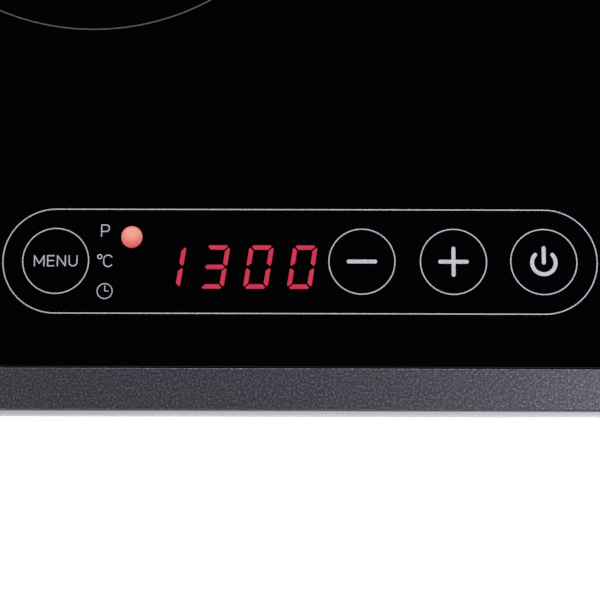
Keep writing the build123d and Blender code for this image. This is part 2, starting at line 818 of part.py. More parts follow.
# ---------------------------------------------------------------- all nodes
def make_nodes():
    nodes = {
        "glass_top": make_glass(),
        "glass_seal": make_seal(),
        "top_frame": make_frame(),
        "lower_housing": make_housing(),
        "cord_gland": make_gland(),
        "gland_nut": make_gland_nut(),
        "frame_screws": group([screw_up(x, y) for x, y in frame_screws]),
        "coil_carrier": make_carrier(),
        "coil_winding": make_winding(),
        "mica_sheet": make_mica(),
        "ferrite_bars": make_ferrites(),
        "coil_lead_inner": make_coil_lead(lead_angle),
        "coil_lead_outer": make_coil_lead(-lead_angle),
        "coil_screws": group([screw(x, y, carrier_z + carrier_t, frame_screw_len) for x, y in coil_posts]),
        "sensor_plunger": make_plunger(),
        "sensor_bead": make_bead(),
        "sensor_spring": make_sensor_spring(),
        "control_board": make_control_board(),
        "display_module": make_display(),
        "led_shade": make_shade(),
        "controller_chip": make_chip(),
        "board_bracket": make_bracket(),
        "control_screws": group([screw(x, y, control_top, control_screw_len) for x, y in control_screws]),
        "ribbon_cable": make_ribbon(),
        "power_board": make_power_board(),
        "power_screws": group([screw(x, y, power_top, power_screw_len) for x, y in power_screws]),
        "heatsink": make_heatsink(),
        "power_transistor": make_device(transistor_dx, transistor_size, transistor_legs),
        "bridge_rectifier": make_device(rectifier_dx, rectifier_size, rectifier_legs),
        "resonance_capacitor": make_box_capacitor(resonance_place, resonance_size),
        "smoothing_capacitor": make_box_capacitor(smoothing_place, smoothing_size),
        "filter_capacitor": make_box_capacitor(filter_place, filter_size),
        "filter_choke": make_choke(),
        "standby_transformer": make_transformer(),
        "fuse": make_fuse(),
        "varistor": make_varistor(),
        "terminal_block": make_terminals(),
        "buzzer": make_buzzer(),
        "fan_frame": make_fan_frame(),
        "fan_bearing": make_fan_bearing(),
        "fan_stator": make_fan_stator(),
        "fan_rotor": make_fan_rotor(),
        "fan_magnet": make_fan_magnet(),
        "fan_shaft": make_fan_shaft(),
        "fan_screws": group([screw(x, y, fan_top, fan_t + fan_lift - blind_end) for x, y in fan_screws]),
    }
    for name, (x, y) in feet.items():
        nodes[name] = make_foot(x, y)
    for index, name in enumerate(led_names):
        nodes["led_" + name] = make_led(index)
    for name, offset in key_offsets.items():
        nodes["key_spring_" + name] = make_key_spring(offset)
    return nodes


os.makedirs("parts", exist_ok=True)
for node, shape in make_nodes().items():
    export_step(shape, "parts/" + node + ".step")
    print(node, round(shape.volume, 1))
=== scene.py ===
# %% [markdown]
# # A portable induction cooktop
# This file dresses a measured model of a single-zone induction cooktop. The casing, coil, boards and fan
# arrive already modelled and placed, so the work here is what the eye meets: the black glass and what is
# printed on it, the lit display, the sparkling frame, and a studio that keeps glass black and plastic soft.
# Every length is in metres, and the front with the keys faces -Y.

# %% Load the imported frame
import json
import math

import bmesh
import bpy
from mathutils import Matrix, Vector
from mathutils.geometry import delaunay_2d_cdt

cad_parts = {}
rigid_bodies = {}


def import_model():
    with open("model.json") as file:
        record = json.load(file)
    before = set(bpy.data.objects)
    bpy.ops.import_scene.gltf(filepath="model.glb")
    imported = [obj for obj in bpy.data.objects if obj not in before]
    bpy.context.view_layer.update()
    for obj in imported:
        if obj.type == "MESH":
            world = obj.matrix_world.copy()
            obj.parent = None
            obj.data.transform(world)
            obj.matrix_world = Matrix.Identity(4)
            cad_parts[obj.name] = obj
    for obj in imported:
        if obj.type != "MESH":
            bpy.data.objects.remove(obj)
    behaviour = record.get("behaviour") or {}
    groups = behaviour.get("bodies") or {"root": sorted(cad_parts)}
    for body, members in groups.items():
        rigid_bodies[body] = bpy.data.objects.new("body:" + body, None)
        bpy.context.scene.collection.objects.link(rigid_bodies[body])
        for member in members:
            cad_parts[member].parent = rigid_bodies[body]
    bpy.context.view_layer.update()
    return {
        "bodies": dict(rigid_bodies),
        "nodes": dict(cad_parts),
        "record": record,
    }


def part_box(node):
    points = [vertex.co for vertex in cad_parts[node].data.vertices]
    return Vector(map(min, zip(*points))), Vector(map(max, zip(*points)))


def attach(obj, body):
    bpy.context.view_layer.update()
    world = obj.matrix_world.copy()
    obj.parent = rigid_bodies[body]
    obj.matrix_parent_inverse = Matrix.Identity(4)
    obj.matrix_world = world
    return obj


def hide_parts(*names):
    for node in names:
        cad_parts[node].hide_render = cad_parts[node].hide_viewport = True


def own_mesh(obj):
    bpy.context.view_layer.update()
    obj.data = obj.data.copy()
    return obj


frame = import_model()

MM = 0.001
bodies = list(frame["bodies"])
print("bodies:", bodies, "nodes:", len(frame["nodes"]))

# %% [markdown]
# ## Where things are
# The glass gives every printed mark its place. The control panel is centred 24.35 mm behind the glass's
# front edge, and 48.4 mm to the right of the cooking zone. Ink and light films lie on the top face, a few
# hundredths of a millimetre thick, so they cast no shadow and hide no edge.

# %% Places and film sizes
glass_low, glass_high = (Vector(corner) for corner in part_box("glass_top"))
TOP = glass_high.z
FILM = 0.03 * MM
PANEL_X = 48.4 * MM
PANEL_Y = glass_low.y + 24.35 * MM
ZONE = Vector((0.0, 0.0, TOP))
print("glass", [round(side * 1000, 1) for side in glass_high - glass_low], "mm")
print("its top is at", round(TOP * 1000, 2), "mm")


def on_panel(x, y):
    """A place on the glass, given in millimetres from the middle of the control panel."""
    return Vector((PANEL_X + x * MM, PANEL_Y + y * MM, TOP))


# %% [markdown]
# ## Colours and shader nodes
# Colours are written as sRGB hex, as a swatch card gives them, and one function turns them to the linear
# values that Blender's sockets expect. One more small function adds any node with its settings and its
# links, so a material reads as the list of nodes it is made of.

# %% Colour and node helpers
def linear(text):
    """An sRGB hex colour as linear RGBA."""
    parts = [int(text[place : place + 2], 16) / 255 for place in (1, 3, 5)]
    return [c / 12.92 if c <= 0.04045 else ((c + 0.055) / 1.055) ** 2.4 for c in parts] + [1.0]


def add(tree, kind, links=None, values=None, **settings):
    """Adds a node: its own settings, values for its free sockets, and links into the others."""
    node = tree.nodes.new(kind)
    for name, value in settings.items():
        setattr(node, name, value)
    for socket, value in (values or {}).items():
        node.inputs[socket].default_value = value
    for socket, source in (links or {}).items():
        tree.links.new(source, node.inputs[socket])
    return node


def new_finish(name, **sockets):
    """A material with one Principled shader, whose even values sit on its own sockets."""
    material = bpy.data.materials.new(name)
    material.use_nodes = True
    shader = material.node_tree.nodes["Principled BSDF"]
    for socket, value in sockets.items():
        shader.inputs[socket.replace("_", " ")].default_value = value
    return material, material.node_tree, shader


def grain(tree, grain_mm, detail=2.0, rough=0.5):
    """Noise whose blobs are about grain_mm across, on the object's own coordinates."""
    place = add(tree, "ShaderNodeTexCoord")
    return add(
        tree,
        "ShaderNodeTexNoise",
        links={"Vector": place.outputs["Object"]},
        values={"Scale": 1000.0 / grain_mm / 2, "Detail": detail, "Roughness": rough},
    )


def two_tone(tree, shader, source, dark, light, low=0.35, high=0.65):
    """Colours the surface between two swatches, following source."""
    ramp = add(tree, "ShaderNodeValToRGB", links={"Fac": source})
    ramp.color_ramp.elements[0].position = low
    ramp.color_ramp.elements[0].color = linear(dark)
    ramp.color_ramp.elements[1].position = high
    ramp.color_ramp.elements[1].color = linear(light)
    tree.links.new(ramp.outputs["Color"], shader.inputs["Base Color"])
    return ramp


def vary_roughness(tree, shader, source, low, high):
    """Spreads the roughness between two values, following source."""
    spread = add(tree, "ShaderNodeMapRange", links={"Value": source}, values={"To Min": low, "To Max": high})
    tree.links.new(spread.outputs["Result"], shader.inputs["Roughness"])


def relief(tree, shader, source, height_mm, strength=1.0):
    """Raises and sinks the surface by about height_mm."""
    size = {"Distance": height_mm * MM, "Strength": strength}
    bump = add(tree, "ShaderNodeBump", links={"Height": source}, values=size)
    tree.links.new(bump.outputs["Normal"], shader.inputs["Normal"])


# %% [markdown]
# ## Black glass-ceramic
# The plate is lithium glass-ceramic, polished on top and tinted so dark that only strong light comes
# through. It needs very little: a colour close to black, the mirror-like gloss of polish, and a faint
# unevenness in that gloss, such as wiping leaves, so that a reflection is not perfectly clean over the
# whole plate.

# %% Glass-ceramic
def make_glass_ceramic():
    material, tree, shader = new_finish("glass_ceramic_polished", Base_Color=linear("#020203"), IOR=1.52)
    wiped = grain(tree, 38.0, detail=4.0)
    vary_roughness(tree, shader, wiped.outputs["Fac"], 0.015, 0.055)
    return material


glass_ceramic = make_glass_ceramic()
print("made", glass_ceramic.name)

# %% [markdown]
# ## Dark textured frame
# The frame is coated metal-look plastic: a dark grey lacquer with fine flakes, sprayed over a fine spark
# texture. Close up, light and dark grains about a third of a millimetre across lie side by side, and the
# whole strip brightens where a lamp stands low over it. Noise gives the grains, with a steep upper half in
# its ramp so that a few of them sparkle, and a bump gives the glitter.

# %% Flake lacquer
def make_flake_lacquer():
    material, tree, shader = new_finish("flake_lacquer_textured", Metallic=0.85, Roughness=0.38, IOR=1.5)
    fine = grain(tree, 0.24, detail=2.0, rough=0.65)
    flakes = two_tone(tree, shader, fine.outputs["Fac"], "#43424C", "#8B8A96", 0.29, 0.71)
    flakes.color_ramp.elements.new(0.5).color = linear("#55545F")
    relief(tree, shader, fine.outputs["Fac"], 0.05, 0.5)
    return material


flake_lacquer = make_flake_lacquer()
print("made", flake_lacquer.name)

# %% [markdown]
# ## Light grey ABS
# The lower housing is injection-moulded ABS in a cool light grey with a hint of lilac. The mould was spark
# eroded, so the skin is matt with a fine, even grain, and slightly cloudy where the melt flowed.

# %% Moulded ABS
def make_light_abs():
    material, tree, shader = new_finish("abs_spark_eroded", Roughness=0.5, IOR=1.53)
    cloud = grain(tree, 45.0, detail=3.0)
    two_tone(tree, shader, cloud.outputs["Fac"], "#9D9AA0", "#A6A3A9")
    skin = grain(tree, 0.45, detail=2.0)
    relief(tree, shader, skin.outputs["Fac"], 0.03, 0.5)
    return material


light_abs = make_light_abs()
print("made", light_abs.name)


# %% [markdown]
# ## Everyday finishes for what is inside or underneath
# Rubber, nylon, steel, laminate and the rest differ in three things: colour, gloss, and the size of their
# grain. A table holds those for each one, and a loop builds them. Each still gets its own noise in colour,
# roughness and relief, at the real scale of its surface.

# %% Table of everyday finishes
# name: dark swatch, light swatch, metallic, lowest and highest roughness, grain in mm, relief in mm
EVERYDAY = {
    "black_nylon": ("nylon_moulded", "#141517", "#1C1D20", 0.0, 0.42, 0.55, 0.5, 0.02),
    "black_rubber": ("rubber_moulded", "#151516", "#212123", 0.0, 0.7, 0.85, 0.7, 0.03),
    "grey_silicone": ("silicone_bead", "#323336", "#3E3F43", 0.0, 0.4, 0.55, 2.0, 0.02),
    "white_silicone": ("silicone_white", "#DEDCD6", "#ECEAE4", 0.0, 0.45, 0.6, 1.5, 0.02),
    "heat_proof_moulding": ("phenolic_glass_filled", "#26221E", "#312C27", 0.0, 0.5, 0.68, 0.8, 0.03),
    "zinc_steel": ("steel_zinc_plated", "#9FA1A4", "#B9BBBE", 1.0, 0.28, 0.45, 0.9, 0.005),
    "copper_litz": ("copper_litz_varnished", "#94481F", "#C4703C", 0.85, 0.3, 0.5, 0.4, 0.03),
    "mica": ("mica_pressed", "#B8AE93", "#D2C9B2", 0.0, 0.35, 0.6, 1.6, 0.02),
    "ferrite": ("ferrite_sintered", "#242426", "#343436", 0.0, 0.6, 0.8, 0.5, 0.02),
    "ceramic_bead": ("ceramic_unglazed", "#DDD8CB", "#EFEBDF", 0.0, 0.5, 0.7, 0.6, 0.01),
    "green_laminate": ("laminate_solder_mask", "#174B2B", "#22653B", 0.0, 0.25, 0.4, 1.2, 0.01),
    "display_block": ("polycarbonate_black", "#161618", "#1E1E21", 0.0, 0.4, 0.55, 0.6, 0.01),
    "black_epoxy": ("epoxy_moulded", "#111113", "#19191C", 0.0, 0.5, 0.65, 0.3, 0.01),
    "grey_pvc": ("pvc_flat_cable", "#85878C", "#96989D", 0.0, 0.45, 0.6, 1.2, 0.02),
    "plain_aluminium": ("aluminium_extruded", "#A9ACB1", "#C4C7CC", 1.0, 0.3, 0.5, 0.7, 0.01),
    "capacitor_case": ("polyester_case", "#A8932F", "#C2AE4A", 0.0, 0.25, 0.4, 1.5, 0.01),
    "blue_epoxy": ("epoxy_dipped", "#25457F", "#35599E", 0.0, 0.15, 0.3, 2.5, 0.02),
    "bronze": ("bronze_sintered", "#96703B", "#B88E50", 1.0, 0.4, 0.6, 0.3, 0.01),
    "led_epoxy": ("epoxy_lens_red", "#A82D35", "#C9424A", 0.0, 0.1, 0.2, 2.0, 0.0),
}


def make_everyday(slot):
    name, dark, light, metallic, smooth, rough, grain_mm, height_mm = EVERYDAY[slot]
    material, tree, shader = new_finish(name, Metallic=metallic)
    specks = grain(tree, grain_mm, detail=3.0)
    cloud = grain(tree, 12 * grain_mm, detail=2.0)
    two_tone(tree, shader, cloud.outputs["Fac"], dark, light)
    vary_roughness(tree, shader, specks.outputs["Fac"], smooth, rough)
    if height_mm:
        relief(tree, shader, specks.outputs["Fac"], height_mm, 0.5)
    return material


finishes = {slot: make_everyday(slot) for slot in EVERYDAY}
finishes["black_glass_ceramic"] = glass_ceramic
finishes["dark_textured_frame"] = flake_lacquer
finishes["light_grey_abs"] = light_abs
print("finishes:", len(finishes))

# %% Put the finishes on the carried-over pieces
node_slots = {row["node"]: row["material_slot"] for row in frame["record"]["subparts"]}
for node, piece in frame["nodes"].items():
    for material_slot in piece.material_slots:
        material_slot.material = finishes[node_slots[node]]
print("dressed", len(frame["nodes"]), "pieces")

# %% [markdown]
# ## Ink, and a painted reflection, on the glass
# The key marks are ceramic ink, screen printed and fired, in a pale cool grey. The much darker grey ring
# round the cooking zone is a painted reflection: it draws the thin arc that a pot's foot throws in the glass
# as a matt film. Fired ink is matt and a little uneven, because the screen's mesh leaves pinholes, so both
# get a fine noise in colour and roughness.

# %% Ink, and the grey of the painted reflection
def make_ink_and_painted_reflection(name, dark, light):
    material, tree, shader = new_finish(name, IOR=1.5)
    ink_and_reflection_mottle = grain(tree, 0.22, detail=2.0)
    two_tone(tree, shader, ink_and_reflection_mottle.outputs["Fac"], dark, light, 0.3, 0.6)
    vary_roughness(tree, shader, ink_and_reflection_mottle.outputs["Fac"], 0.5, 0.7)
    return material


key_ink = make_ink_and_painted_reflection("ceramic_ink_pale", "#8C8D97", "#9FA0AB")
# Painted reflection: this much darker grey stands for a faint reflection arc in the glass, not for print.
painted_reflection_grey = make_ink_and_painted_reflection("painted_reflection_dark_grey", "#3A3B42", "#4A4B53")


# %% [markdown]
# ## Light through the glass
# Where the ink is left open, the display and the lamp shine through the tinted plate. The films glow in the
# colour that reaches the eye, after the tint has taken most of the white out of the light. The digits are
# even, with only the faint mottle of a diffuser. The lamp's spot is a pale pink-orange in its upper part,
# where the lamp sits behind the glass, and falls to red at the bottom and the rim.

# %% Display light
def make_display_light():
    material, tree, shader = new_finish("display_light_red", Base_Color=linear("#200308"), Roughness=0.3)
    mottle = grain(tree, 1.1, detail=2.0)
    ramp = add(tree, "ShaderNodeValToRGB", links={"Fac": mottle.outputs["Fac"]})
    ramp.color_ramp.elements[0].position = 0.35
    ramp.color_ramp.elements[0].color = linear("#D63450")
    ramp.color_ramp.elements[1].position = 0.65
    ramp.color_ramp.elements[1].color = linear("#E03A58")
    tree.links.new(ramp.outputs["Color"], shader.inputs["Emission Color"])
    shader.inputs["Emission Strength"].default_value = 0.84
    return material


display_light = make_display_light()


# %% Lamp light
LAMP_X, LAMP_Y = -38.47, 5.6
LAMP = on_panel(LAMP_X, LAMP_Y)
LAMP_R = 2.55 * MM


def make_lamp_light():
    """Radial fall from a bright spot above the middle, with a diffuser's fine speckle and a redder rim."""
    material, tree, shader = new_finish("lamp_light_pink", Base_Color=linear("#200308"), Roughness=0.3)
    place = add(tree, "ShaderNodeTexCoord")
    falls = []
    for middle in (LAMP + Vector((0.0, 0.5 * LAMP_R, 0.0)), LAMP):
        centred = add(
            tree,
            "ShaderNodeMapping",
            links={"Vector": place.outputs["Object"]},
            values={"Location": [-side / (2 * LAMP_R) for side in middle], "Scale": [1 / (2 * LAMP_R)] * 3},
        )
        fall = add(
            tree,
            "ShaderNodeTexGradient",
            links={"Vector": centred.outputs["Vector"]},
            gradient_type="SPHERICAL",
        )
        falls.append(fall.outputs["Fac"])
    spot, from_rim = falls
    speckle = grain(tree, 0.28, detail=2.0)
    mixed = add(
        tree,
        "ShaderNodeMath",
        links={0: speckle.outputs["Fac"], 2: spot},
        values={1: 0.2},
        operation="MULTIPLY_ADD",
    )
    rim = add(
        tree,
        "ShaderNodeMapRange",
        links={"Value": from_rim},
        values={"From Min": 0.5, "From Max": 0.6, "To Min": 0.3, "To Max": 1.1},
    )
    dimmed = add(
        tree,
        "ShaderNodeMath",
        links={0: mixed.outputs["Value"], 1: rim.outputs["Result"]},
        operation="MINIMUM",
    )
    ramp = add(tree, "ShaderNodeValToRGB", links={"Fac": dimmed.outputs["Value"]})
    ramp.color_ramp.elements[0].position = 0.24
    ramp.color_ramp.elements[0].color = linear("#C42A48")
    ramp.color_ramp.elements[1].position = 0.92
    ramp.color_ramp.elements[1].color = linear("#F0AA96")
    ramp.color_ramp.elements.new(0.46).color = linear("#E4646A")
    ramp.color_ramp.elements.new(0.7).color = linear("#EC8E82")
    tree.links.new(ramp.outputs["Color"], shader.inputs["Emission Color"])
    shader.inputs["Emission Strength"].default_value = 0.95
    return material


lamp_light = make_lamp_light()
print("lamp spot", round(2 * LAMP_R * 1000, 1), "mm across")

# %% [markdown]
# ## Rings and outline by Geometry Nodes
# Every ring on the glass follows one rule: a circle swept with a thin flat section. A node tree states that
# once, with the ring's radius and line width as named inputs. It stands one ring on every point of the mesh
# it is given, so the four keys are four points. The long outline uses the same section on a rounded
# rectangle.

# %% Geometry Nodes helpers
def new_tree(name, sizes):
    """A geometry tree with the named sizes as its inputs."""
    tree = bpy.data.node_groups.new(name, "GeometryNodeTree")
    tree.interface.new_socket("Geometry", in_out="INPUT", socket_type="NodeSocketGeometry")
    tree.interface.new_socket("Geometry", in_out="OUTPUT", socket_type="NodeSocketGeometry")
    for size in sizes:
        tree.interface.new_socket(size, in_out="INPUT", socket_type="NodeSocketFloat")
    return tree, add(tree, "NodeGroupInput")


def end_tree(tree, source, material):
    """Ends a tree in Realize Instances and Set Material."""
    real = add(tree, "GeometryNodeRealizeInstances", links={"Geometry": source})
    dressed = add(
        tree,
        "GeometryNodeSetMaterial",
        links={"Geometry": real.outputs["Geometry"]},
        values={"Material": material},
    )
    add(tree, "NodeGroupOutput", links={"Geometry": dressed.outputs["Geometry"]})


def run_tree(name, tree, points, sizes, body="body"):
    """Runs a tree on a mesh of points and keeps the result as a plain mesh that rides on a body."""
    seed = bpy.data.meshes.new(name + "_points")
    seed.from_pydata([tuple(point) for point in points], [], [])
    carrier = bpy.data.objects.new(name + "_points", seed)
    bpy.context.collection.objects.link(carrier)
    modifier = carrier.modifiers.new("nodes", "NODES")
    modifier.node_group = tree
    for item in tree.interface.items_tree:
        if item.in_out == "INPUT" and item.name in sizes:
            modifier[item.identifier] = sizes[item.name]
    evaluated = carrier.evaluated_get(bpy.context.evaluated_depsgraph_get())
    mesh = bpy.data.meshes.new_from_object(evaluated)
    bpy.data.objects.remove(carrier)
    return keep(name, mesh, body)


def keep(name, mesh, body, smooth=False):
    """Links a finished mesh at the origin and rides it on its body."""
    mesh.name = name
    piece = bpy.data.objects.new(name, mesh)
    bpy.context.collection.objects.link(piece)
    for polygon in mesh.polygons:
        polygon.use_smooth = smooth
    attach(piece, body)
    print(name, len(mesh.polygons), "faces")
    return piece


# %% Ring tree
def make_ring_tree(name, material):
    """A flat ring on every point: circle, thin section, swept."""
    tree, group = new_tree(name, ["Radius", "Line Width", "Film"])
    circle = add(
        tree,
        "GeometryNodeCurvePrimitiveCircle",
        links={"Radius": group.outputs["Radius"]},
        values={"Resolution": 96},
    )
    section = add(
        tree,
        "GeometryNodeCurvePrimitiveQuadrilateral",
        links={"Width": group.outputs["Line Width"], "Height": group.outputs["Film"]},
    )
    ring = add(
        tree,
        "GeometryNodeCurveToMesh",
        links={"Curve": circle.outputs["Curve"], "Profile Curve": section.outputs["Curve"]},
    )
    placed = add(
        tree,
        "GeometryNodeInstanceOnPoints",
        links={"Points": group.outputs["Geometry"], "Instance": ring.outputs["Mesh"]},
    )
    end_tree(tree, placed.outputs["Instances"], material)
    return tree


LINE = 0.235 * MM
KEY_R = 7.54 * MM
KEYS = {"menu": -55.8, "minus": 14.2, "plus": 35.1, "power": 55.7}
LIFT = Vector((0.0, 0.0, FILM / 2))

key_rings = run_tree(
    "key_rings",
    make_ring_tree("key_ring_tree", key_ink),
    [on_panel(x, 0.0) + LIFT for x in KEYS.values()],
    {"Radius": KEY_R, "Line Width": LINE, "Film": FILM},
)
# Painted reflection: a dim grey ring round the cooking zone, standing for the reflection arc of a pot's foot
# in the glass.
REFLECTION_RING_R = 55.3 * MM
painted_reflection_ring = run_tree(
    "painted_reflection_ring",
    make_ring_tree("painted_reflection_ring_tree", painted_reflection_grey),
    [ZONE + LIFT],
    {"Radius": REFLECTION_RING_R, "Line Width": LINE, "Film": FILM},
)


# %% Outline tree
def make_outline_tree():
    """A rounded rectangle, swept with the same thin section."""
    tree, group = new_tree("panel_outline_tree", ["Length", "Depth", "Corner", "Line Width", "Film"])
    rectangle = add(
        tree,
        "GeometryNodeCurvePrimitiveQuadrilateral",
        links={"Width": group.outputs["Length"], "Height": group.outputs["Depth"]},
    )
    rounded = add(
        tree,
        "GeometryNodeFilletCurve",
        links={"Curve": rectangle.outputs["Curve"], "Radius": group.outputs["Corner"]},
        values={"Count": 32},
        mode="POLY",
    )
    section = add(
        tree,
        "GeometryNodeCurvePrimitiveQuadrilateral",
        links={"Width": group.outputs["Line Width"], "Height": group.outputs["Film"]},
    )
    line = add(
        tree,
        "GeometryNodeCurveToMesh",
        links={"Curve": rounded.outputs["Curve"], "Profile Curve": section.outputs["Curve"]},
    )
    placed = add(
        tree,
        "GeometryNodeInstanceOnPoints",
        links={"Points": group.outputs["Geometry"], "Instance": line.outputs["Mesh"]},
    )
    end_tree(tree, placed.outputs["Instances"], key_ink)
    return tree


PANEL_LENGTH = 135.95 * MM
PANEL_DEPTH = 24.36 * MM
panel_outline = run_tree(
    "panel_outline",
    make_outline_tree(),
    [on_panel(0.0, 0.0) + LIFT],
    {
        "Length": PANEL_LENGTH - LINE,
        "Depth": PANEL_DEPTH - LINE,
        "Corner": (PANEL_DEPTH - LINE) / 2 * 0.999,
        "Line Width": LINE,
        "Film": FILM,
    },
)

# %% [markdown]
# ## Symbols as pen strokes
# The key symbols and the small letters are all made of strokes of even width with round ends, as a routed
# stencil would give. Each stroke is a path with a width. A flat band is drawn round every path, and a
# constrained triangulation joins the bands into one clean outline, with no faces lying over each other.

# %% Stroke helper
def arc(x, y, radius, start, stop, steps=20):
    """Points along an arc, in millimetres and degrees."""
    turns = [math.radians(start + (stop - start) * n / steps) for n in range(steps + 1)]
    return [(x + radius * math.cos(turn), y + radius * math.sin(turn)) for turn in turns]


def band(path, width):
    """The closed outline of a stroke: both sides of the path, with round ends."""
    points = [Vector(point) for point in path]
    half = width / 2
    normals = []
    for place in range(len(points)):
        ahead = points[min(place + 1, len(points) - 1)] - points[max(place - 1, 0)]
        normals.append(Vector((-ahead.y, ahead.x)).normalized())
    left = [point + normal * half for point, normal in zip(points, normals)]
    right = [point - normal * half for point, normal in zip(points, normals)]
    outline = list(reversed(left))
    for end, normal in ((points[0], normals[0]), (points[-1], -normals[-1])):
        cap = []
        for n in range(1, 8):
            turn = math.pi * n / 8
            cap.append(end + Matrix.Rotation(turn, 2) @ (normal * half))
        outline += cap
        if end is points[0]:
            outline += right
    return outline


def print_film(name, outlines, material):
    """Joins flat outlines, given in millimetres from the panel's middle, into one thin film on the glass."""
    points, faces = [], []
    for outline in outlines:
        faces.append(list(range(len(points), len(points) + len(outline))))
        points += outline
    flat, _, triangles, _, _, owners = delaunay_2d_cdt(points, [], faces, 1, 1e-6)
    shape = bmesh.new()
    corners = [shape.verts.new(on_panel(point.x, point.y)) for point in flat]
    for triangle, owner in zip(triangles, owners):
        if not owner:
            continue
        face = shape.faces.new([corners[place] for place in triangle])
        if face.normal.z < 0:
            face.normal_flip()
    bmesh.ops.delete(shape, geom=[corner for corner in shape.verts if not corner.link_faces], context="VERTS")
    bmesh.ops.dissolve_limit(shape, angle_limit=0.001, verts=shape.verts[:], edges=shape.edges[:])
    raised = bmesh.ops.extrude_face_region(shape, geom=shape.faces[:])
    tops = [item for item in raised["geom"] if isinstance(item, bmesh.types.BMVert)]
    bmesh.ops.translate(shape, verts=tops, vec=(0.0, 0.0, FILM))
    bmesh.ops.recalc_face_normals(shape, faces=shape.faces[:])
    mesh = bpy.data.meshes.new(name)
    shape.to_mesh(mesh)
    shape.free()
    mesh.materials.append(material)
    return keep(name, mesh, "body")


# %% Key symbols
SYMBOL = 0.9
REACH = 3.03
MINUS_X, PLUS_X, POWER_X = KEYS["minus"], KEYS["plus"], KEYS["power"]
minus = [[(MINUS_X - REACH, 0.0), (MINUS_X + REACH, 0.0)]]
plus = [[(PLUS_X - REACH, 0.0), (PLUS_X + REACH, 0.0)], [(PLUS_X, -REACH), (PLUS_X, REACH)]]
power = [arc(POWER_X, -0.16, 2.68, 137, 403, 40), [(POWER_X, 3.22), (POWER_X, -0.16)]]
thick_bands = [band(path, SYMBOL) for path in minus + plus + power]
key_symbols = print_film("key_symbols", thick_bands, key_ink)

# %% [markdown]
# The menu key carries its word, and three small signs name the three modes: P for power level, a degree
# sign with C for temperature, and a clock for the timer. They are drawn with a finer pen, and the capitals
# are 2.6 mm high.

# %% Letters and signs
PEN = 0.24
CLOCK_PEN = 0.2
CAP_LOW, CAP_HIGH = -1.17, 1.19


def letter_m(x):
    return [
        [(x, CAP_LOW), (x, CAP_HIGH)],
        [(x, CAP_HIGH), (x + 1.1, -0.62)],
        [(x + 1.1, -0.62), (x + 2.2, CAP_HIGH)],
        [(x + 2.2, CAP_HIGH), (x + 2.2, CAP_LOW)],
    ]


def letter_e(x):
    stem = [[(x, CAP_LOW), (x, CAP_HIGH)]]
    return stem + [[(x, y), (x + reach, y)] for y, reach in ((CAP_HIGH, 1.45), (0.05, 1.33), (CAP_LOW, 1.45))]


def letter_n(x):
    return [
        [(x, CAP_LOW), (x, CAP_HIGH)],
        [(x, CAP_HIGH), (x + 1.8, CAP_LOW)],
        [(x + 1.8, CAP_LOW), (x + 1.8, CAP_HIGH)],
    ]


def letter_u(x):
    bowl = CAP_LOW + 0.9
    return [
        [(x, CAP_HIGH), (x, bowl)],
        arc(x + 0.9, bowl, 0.9, 180, 360),
        [(x + 1.8, bowl), (x + 1.8, CAP_HIGH)],
    ]


def letter_p(x, low, high, bowl=0.76):
    middle = high - bowl
    return [
        [(x, low), (x, high)],
        [(x, high), (x + 1.02, high)],
        arc(x + 1.02, middle, bowl, 90, -90),
        [(x + 1.02, middle - bowl), (x, middle - bowl)],
    ]


def letter_c(x, y, radius=0.99, rise=0.34):
    return [
        arc(x, y + rise, radius, 35, 180),
        [(x - radius, y + rise), (x - radius, y - rise)],
        arc(x, y - rise, radius, 180, 325),
    ]


def clock(x, y):
    face = [arc(x, y, 1.72, 0, 180, 40), arc(x, y, 1.72, 180, 360, 40)]
    return face + [[(x, y + 1.2), (x, y)], [(x, y), (x + 0.85, y)]]


word = letter_m(-60.65) + letter_e(-57.62) + letter_n(-55.38) + letter_u(-52.72)
degree = [arc(-45.73, 0.98, 0.48, 0, 180), arc(-45.73, 0.98, 0.48, 180, 360)]
signs = letter_p(-45.42, 5.78, 8.38) + degree + letter_c(-43.8, 0.02)
strokes = [band(path, PEN) for path in word + signs]
strokes += [band(path, CLOCK_PEN) for path in clock(-44.44, -6.99)]
small_marks = print_film("small_marks", strokes, key_ink)

# %% [markdown]
# ## The display
# Each digit is made of seven bars, mitred at 45 degrees where they meet, with a hair of dark between them,
# and leaned over by a shear. The bars are worked out from the digit's width, height and bar width, and a
# short table says which of them light up for each number. It shows a power setting of 1300.

# %% Seven bars
HALF_W, HALF_H, BAR = 2.8, 5.03, 1.02
TIP = 0.28
CUT = 0.28
SLANT = 0.8
LEAN = math.tan(math.radians(8.6))


def flip(outline, across, along):
    """Mirrors an outline to the left half or the lower half."""
    return [(x * across, y * along) for x, y in outline]


half_top = [
    (HALF_W - 2 * TIP - CUT, HALF_H),
    (HALF_W - TIP - CUT, HALF_H - TIP),
    (HALF_W - BAR - CUT, HALF_H - BAR),
]
top_bar = half_top + list(reversed(flip(half_top, -1, 1)))
side_bar = [
    (HALF_W - TIP, HALF_H - TIP - CUT),
    (HALF_W, HALF_H - 2 * TIP - CUT),
    (HALF_W, 2 * TIP),
    (HALF_W - TIP, CUT),
    (HALF_W - BAR, CUT + SLANT * (BAR - TIP)),
    (HALF_W - BAR, HALF_H - BAR - CUT),
]
half_middle = [
    (HALF_W - TIP - CUT - BAR / 2, BAR / 2),
    (HALF_W - TIP - CUT, 0.0),
    (HALF_W - TIP - CUT - BAR / 2, -BAR / 2),
]
middle_bar = half_middle + list(reversed(flip(half_middle, -1, 1)))
BARS = {
    "top": top_bar,
    "upper_right": side_bar,
    "lower_right": flip(side_bar, 1, -1),
    "bottom": flip(top_bar, 1, -1),
    "lower_left": flip(side_bar, -1, -1),
    "upper_left": flip(side_bar, -1, 1),
    "middle": middle_bar,
}
LIT = {
    "1": ["upper_right", "lower_right"],
    "3": ["top", "upper_right", "middle", "lower_right", "bottom"],
    "0": ["top", "upper_right", "lower_right", "bottom", "lower_left", "upper_left"],
}

